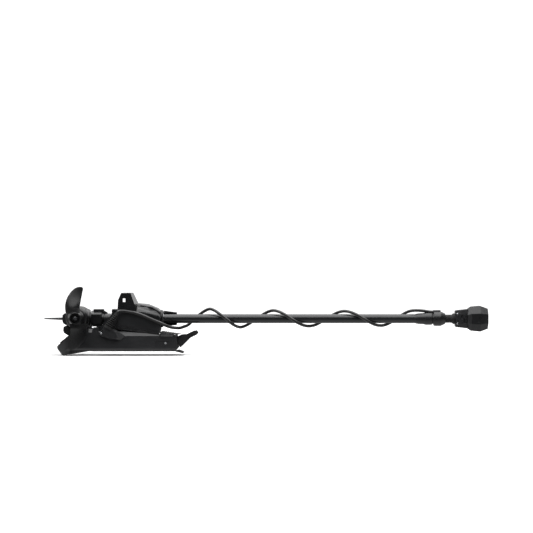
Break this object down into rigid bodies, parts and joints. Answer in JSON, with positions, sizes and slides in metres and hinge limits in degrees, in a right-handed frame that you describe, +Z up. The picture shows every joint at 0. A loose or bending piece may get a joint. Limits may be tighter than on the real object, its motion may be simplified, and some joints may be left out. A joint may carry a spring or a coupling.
{
  "type": "trolling motor",
  "caption": "Bow-mount electric trolling motor lying stowed on its deck mount: long shaft, steering housing, two-blade propeller and wound power cable.",
  "frame": {"origin": "centre of the mount's flat deck face", "axes": "+X along the shaft to the control head, +Y away from the side with the power cable, +Z up from the deck"},
  "size_m": [2.059, 0.384, 0.3178],
  "materials": {
    "casting": "black powder coat, satin",
    "moulding": "fine textured black moulding",
    "rubber": "matt black rubber",
    "steel": "brushed stainless steel",
    "shaft": "dark composite tube, semi-gloss",
    "bronze": "sintered bronze",
    "winding": "varnished copper on laminated core",
    "board": "green circuit board",
    "propeller": "glass filled nylon, satin",
    "cable": "black cable sheath"
  },
  "bodies": {
    "mount": {"base_frame": "casting", "ramp_pad_near": "rubber", "ramp_pad_far": "rubber", "near_side_cover": "moulding", "far_side_cover": "moulding", "base_top_cover": "moulding", "rear_step_pad": "rubber", "rear_foot": "rubber", "motor_controller": "casting", "pivot_axle": "steel", "pivot_screw": "steel", "pedal_pin": "steel", "latch_spring": "steel", "cable_boot": "rubber"},
    "pedal": {"release_pedal": "moulding", "pedal_pad": "rubber"},
    "latch": {"latch_bolt": "steel"},
    "button": {"power_button": "steel"},
    "housing": {"steering_housing": "casting", "tower_cover": "moulding", "barrel_cover": "moulding", "rear_end_ring": "moulding", "front_bush": "bronze", "rear_bush": "bronze", "servo_motor": "steel", "exit_guide": "moulding", "striker_plate": "steel", "cable_side_run": "cable"},
    "pinion": {"pinion_gear": "steel"},
    "sleeve": {"steering_sleeve": "steel", "steering_gear": "bronze", "cable_exit_run": "cable"},
    "shaft": {"main_shaft": "shaft", "motor_neck": "casting", "neck_clamp": "moulding", "neck_collar": "moulding", "motor_housing": "casting", "motor_end_bell": "casting", "nose_cone": "casting", "skeg": "propeller", "skeg_fairing": "moulding", "sonar_pod": "moulding", "stator": "winding", "prop_side_bearing": "steel", "nose_side_bearing": "steel", "shaft_seal": "rubber", "depth_collar": "moulding", "cable_collar": "moulding", "head_neck": "rubber", "head_bracket": "moulding", "head_bolt_upper": "steel", "head_bolt_lower": "steel", "head_shell": "moulding", "head_board": "board", "cable_winding": "cable"},
    "prop": {"propeller": "propeller", "prop_shaft": "steel", "rotor": "steel", "drive_pin": "steel", "prop_nut": "steel"}
  },
  "joints": [
    {"name": "stow_pivot", "type": "hinge", "parent": "mount", "child": "housing", "pos_m": [-0.138, 0, 0.085], "axis": [0, -1, 0], "range_deg": [0, 90], "deforming": ["cable_side_run"]},
    {"name": "steering", "type": "hinge", "parent": "housing", "child": "sleeve", "pos_m": [0, 0, 0.149], "axis": [1, 0, 0], "range_deg": [-5, 5], "deforming": ["cable_exit_run"]},
    {"name": "pinion_turn", "type": "hinge", "parent": "housing", "child": "pinion", "pos_m": [0.066, 0.04547, 0.17525], "axis": [1, 0, 0], "range_deg": [-20.5, 20.5]},
    {"name": "shaft_slide", "type": "slide", "parent": "sleeve", "child": "shaft", "axis": [-1, 0, 0], "range_m": [0, 0.63], "deforming": ["cable_winding"]},
    {"name": "prop_spin", "type": "hinge", "parent": "shaft", "child": "prop", "pos_m": [-0.253, 0, 0.154], "axis": [0, -1, 0], "continuous": true},
    {"name": "pedal_press", "type": "hinge", "parent": "mount", "child": "pedal", "pos_m": [0.196, 0, 0.052], "axis": [0, 1, 0], "range_deg": [0, 8], "stiffness_Nm_per_rad": 3, "springref_deg": -14.32},
    {"name": "latch_slide", "type": "slide", "parent": "mount", "child": "latch", "axis": [1, 0, 0], "range_m": [0, 0.01], "deforming": ["latch_spring"]},
    {"name": "button_press", "type": "slide", "parent": "mount", "child": "button", "axis": [0, 1, 0], "range_m": [0, 0.0015], "stiffness_N_per_m": 400, "springref_m": -0.002}
  ],
  "couplings": [
    {"joint": "pinion_turn", "follows": "steering", "ratio": -4},
    {"joint": "shaft_slide", "follows": "stow_pivot", "m_per_rad": 0.4},
    {"joint": "latch_slide", "follows": "pedal_press", "m_per_rad": 0.07}
  ]
}
